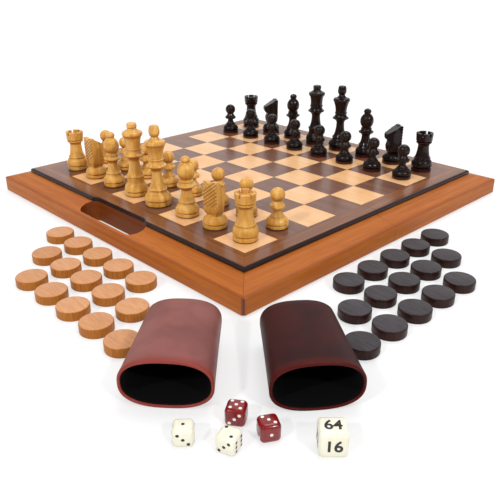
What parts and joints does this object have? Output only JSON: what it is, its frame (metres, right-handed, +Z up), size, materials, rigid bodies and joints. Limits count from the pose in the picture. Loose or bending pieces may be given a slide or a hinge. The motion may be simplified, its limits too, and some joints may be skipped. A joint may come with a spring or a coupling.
{
  "type": "games compendium box",
  "caption": "Folding wooden games case: chess board outside, backgammon tray inside, with chessmen, draughtsmen, dice, doubling cube and dice cups.",
  "frame": {"origin": "middle of the fold line, on the rim that meets the table", "axes": "+Z up out of the chess side, +X across the fold from the white half to the black half, +Y along the fold line"},
  "size_m": [0.5052, 0.5253, 0.1017],
  "materials": {
    "frame_wood": "satin varnished orange brown hardwood",
    "spline_wood": "satin dark hardwood",
    "walnut_veneer": "satin varnished purplish walnut veneer",
    "walnut_border": "satin varnished walnut",
    "maple": "satin varnished pale maple veneer",
    "floor_veneer": "satin striped brown veneer",
    "cream_veneer": "satin cream veneer",
    "red_veneer": "satin reddish veneer",
    "felt": "dark green felt",
    "brass": "dull brass",
    "steel": "bright plated steel",
    "boxwood": "lacquered boxwood",
    "ebonised_wood": "glossy black lacquered wood",
    "leather": "smooth burgundy leather",
    "cup_lining": "black felt",
    "ivory_plastic": "polished ivory plastic",
    "red_plastic": "polished red plastic",
    "light_draughts_wood": "satin lacquered wood",
    "dark_draughts_wood": "satin black stained wood"
  },
  "bodies": {
    "half_a": {"end_rail_a": "frame_wood", "front_rail_a": "frame_wood", "back_rail_a": "frame_wood", "hinge_rail_a": "frame_wood", "corner_keys_a": "spline_wood", "panel_a": "walnut_veneer", "panel_border_a": "walnut_border", "light_squares_a": "maple", "play_floor_a": "floor_veneer", "cream_points_a": "cream_veneer", "red_points_a": "red_veneer", "felt_lining_a": "felt", "hinge_leaves_a": "brass", "hinge_screws_a": "brass", "magnets_a": "steel", "hinge_pins": "steel"},
    "half_b": {"end_rail_b": "frame_wood", "front_rail_b": "frame_wood", "back_rail_b": "frame_wood", "hinge_rail_b": "frame_wood", "corner_keys_b": "spline_wood", "panel_b": "walnut_veneer", "panel_border_b": "walnut_border", "light_squares_b": "maple", "play_floor_b": "floor_veneer", "cream_points_b": "cream_veneer", "red_points_b": "red_veneer", "felt_lining_b": "felt", "hinge_leaves_b": "brass", "hinge_screws_b": "brass", "magnets_b": "steel"},
    "white_king_man": {"white_king": "boxwood"},
    "white_queen_man": {"white_queen": "boxwood"},
    "white_bishop_1_man": {"white_bishop_1": "boxwood"},
    "white_bishop_2_man": {"white_bishop_2": "boxwood"},
    "white_knight_1_man": {"white_knight_1": "boxwood"},
    "white_knight_2_man": {"white_knight_2": "boxwood"},
    "white_rook_1_man": {"white_rook_1": "boxwood"},
    "white_rook_2_man": {"white_rook_2": "boxwood"},
    "white_pawns_men": {"white_pawns": "boxwood"},
    "black_king_man": {"black_king": "ebonised_wood"},
    "black_queen_man": {"black_queen": "ebonised_wood"},
    "black_bishop_1_man": {"black_bishop_1": "ebonised_wood"},
    "black_bishop_2_man": {"black_bishop_2": "ebonised_wood"},
    "black_knight_1_man": {"black_knight_1": "ebonised_wood"},
    "black_knight_2_man": {"black_knight_2": "ebonised_wood"},
    "black_rook_1_man": {"black_rook_1": "ebonised_wood"},
    "black_rook_2_man": {"black_rook_2": "ebonised_wood"},
    "black_pawns_men": {"black_pawns": "ebonised_wood"},
    "cup_1": {"dice_cup_1": "leather", "cup_lining_1": "cup_lining"},
    "cup_2": {"dice_cup_2": "leather", "cup_lining_2": "cup_lining"},
    "white_die_1_set": {"white_die_1": "ivory_plastic"},
    "white_die_2_set": {"white_die_2": "ivory_plastic"},
    "red_die_1_set": {"red_die_1": "red_plastic"},
    "red_die_2_set": {"red_die_2": "red_plastic"},
    "doubling_cube_set": {"doubling_cube": "ivory_plastic"},
    "light_draughtsmen_set": {"light_draughtsmen": "light_draughts_wood"},
    "dark_draughtsmen_set": {"dark_draughtsmen": "dark_draughts_wood"}
  },
  "joints": [
    {"name": "fold", "type": "hinge", "parent": "half_a", "child": "half_b", "pos_m": [0, 0, -0.00015], "axis": [0, 1, 0], "range_deg": [0, 180]},
    {"name": "white_king_lift", "type": "slide", "parent": "half_a", "child": "white_king_man", "axis": [0, 0, 1], "range_m": [0, 0.09]},
    {"name": "white_queen_lift", "type": "slide", "parent": "half_a", "child": "white_queen_man", "axis": [0, 0, 1], "range_m": [0, 0.09]},
    {"name": "white_bishop_1_lift", "type": "slide", "parent": "half_a", "child": "white_bishop_1_man", "axis": [0, 0, 1], "range_m": [0, 0.09]},
    {"name": "white_bishop_2_lift", "type": "slide", "parent": "half_a", "child": "white_bishop_2_man", "axis": [0, 0, 1], "range_m": [0, 0.09]},
    {"name": "white_knight_1_lift", "type": "slide", "parent": "half_a", "child": "white_knight_1_man", "axis": [0, 0, 1], "range_m": [0, 0.09]},
    {"name": "white_knight_2_lift", "type": "slide", "parent": "half_a", "child": "white_knight_2_man", "axis": [0, 0, 1], "range_m": [0, 0.09]},
    {"name": "white_rook_1_lift", "type": "slide", "parent": "half_a", "child": "white_rook_1_man", "axis": [0, 0, 1], "range_m": [0, 0.09]},
    {"name": "white_rook_2_lift", "type": "slide", "parent": "half_a", "child": "white_rook_2_man", "axis": [0, 0, 1], "range_m": [0, 0.09]},
    {"name": "white_pawns_lift", "type": "slide", "parent": "half_a", "child": "white_pawns_men", "axis": [0, 0, 1], "range_m": [0, 0.09]},
    {"name": "black_king_lift", "type": "slide", "parent": "half_b", "child": "black_king_man", "axis": [0, 0, 1], "range_m": [0, 0.09]},
    {"name": "black_queen_lift", "type": "slide", "parent": "half_b", "child": "black_queen_man", "axis": [0, 0, 1], "range_m": [0, 0.09]},
    {"name": "black_bishop_1_lift", "type": "slide", "parent": "half_b", "child": "black_bishop_1_man", "axis": [0, 0, 1], "range_m": [0, 0.09]},
    {"name": "black_bishop_2_lift", "type": "slide", "parent": "half_b", "child": "black_bishop_2_man", "axis": [0, 0, 1], "range_m": [0, 0.09]},
    {"name": "black_knight_1_lift", "type": "slide", "parent": "half_b", "child": "black_knight_1_man", "axis": [0, 0, 1], "range_m": [0, 0.09]},
    {"name": "black_knight_2_lift", "type": "slide", "parent": "half_b", "child": "black_knight_2_man", "axis": [0, 0, 1], "range_m": [0, 0.09]},
    {"name": "black_rook_1_lift", "type": "slide", "parent": "half_b", "child": "black_rook_1_man", "axis": [0, 0, 1], "range_m": [0, 0.09]},
    {"name": "black_rook_2_lift", "type": "slide", "parent": "half_b", "child": "black_rook_2_man", "axis": [0, 0, 1], "range_m": [0, 0.09]},
    {"name": "black_pawns_lift", "type": "slide", "parent": "half_b", "child": "black_pawns_men", "axis": [0, 0, 1], "range_m": [0, 0.09]},
    {"name": "cup_1_lift", "type": "slide", "parent": "half_a", "child": "cup_1", "axis": [0, 0, 1], "range_m": [0, 0.09]},
    {"name": "cup_2_lift", "type": "slide", "parent": "half_a", "child": "cup_2", "axis": [0, 0, 1], "range_m": [0, 0.09]},
    {"name": "white_die_1_lift", "type": "slide", "parent": "half_a", "child": "white_die_1_set", "axis": [0, 0, 1], "range_m": [0, 0.09]},
    {"name": "white_die_2_lift", "type": "slide", "parent": "half_a", "child": "white_die_2_set", "axis": [0, 0, 1], "range_m": [0, 0.09]},
    {"name": "red_die_1_lift", "type": "slide", "parent": "half_a", "child": "red_die_1_set", "axis": [0, 0, 1], "range_m": [0, 0.09]},
    {"name": "red_die_2_lift", "type": "slide", "parent": "half_a", "child": "red_die_2_set", "axis": [0, 0, 1], "range_m": [0, 0.09]},
    {"name": "doubling_cube_lift", "type": "slide", "parent": "half_a", "child": "doubling_cube_set", "axis": [0, 0, 1], "range_m": [0, 0.09]},
    {"name": "light_draughtsmen_lift", "type": "slide", "parent": "half_a", "child": "light_draughtsmen_set", "axis": [0, 0, 1], "range_m": [0, 0.09]},
    {"name": "dark_draughtsmen_lift", "type": "slide", "parent": "half_a", "child": "dark_draughtsmen_set", "axis": [0, 0, 1], "range_m": [0, 0.09]}
  ]
}
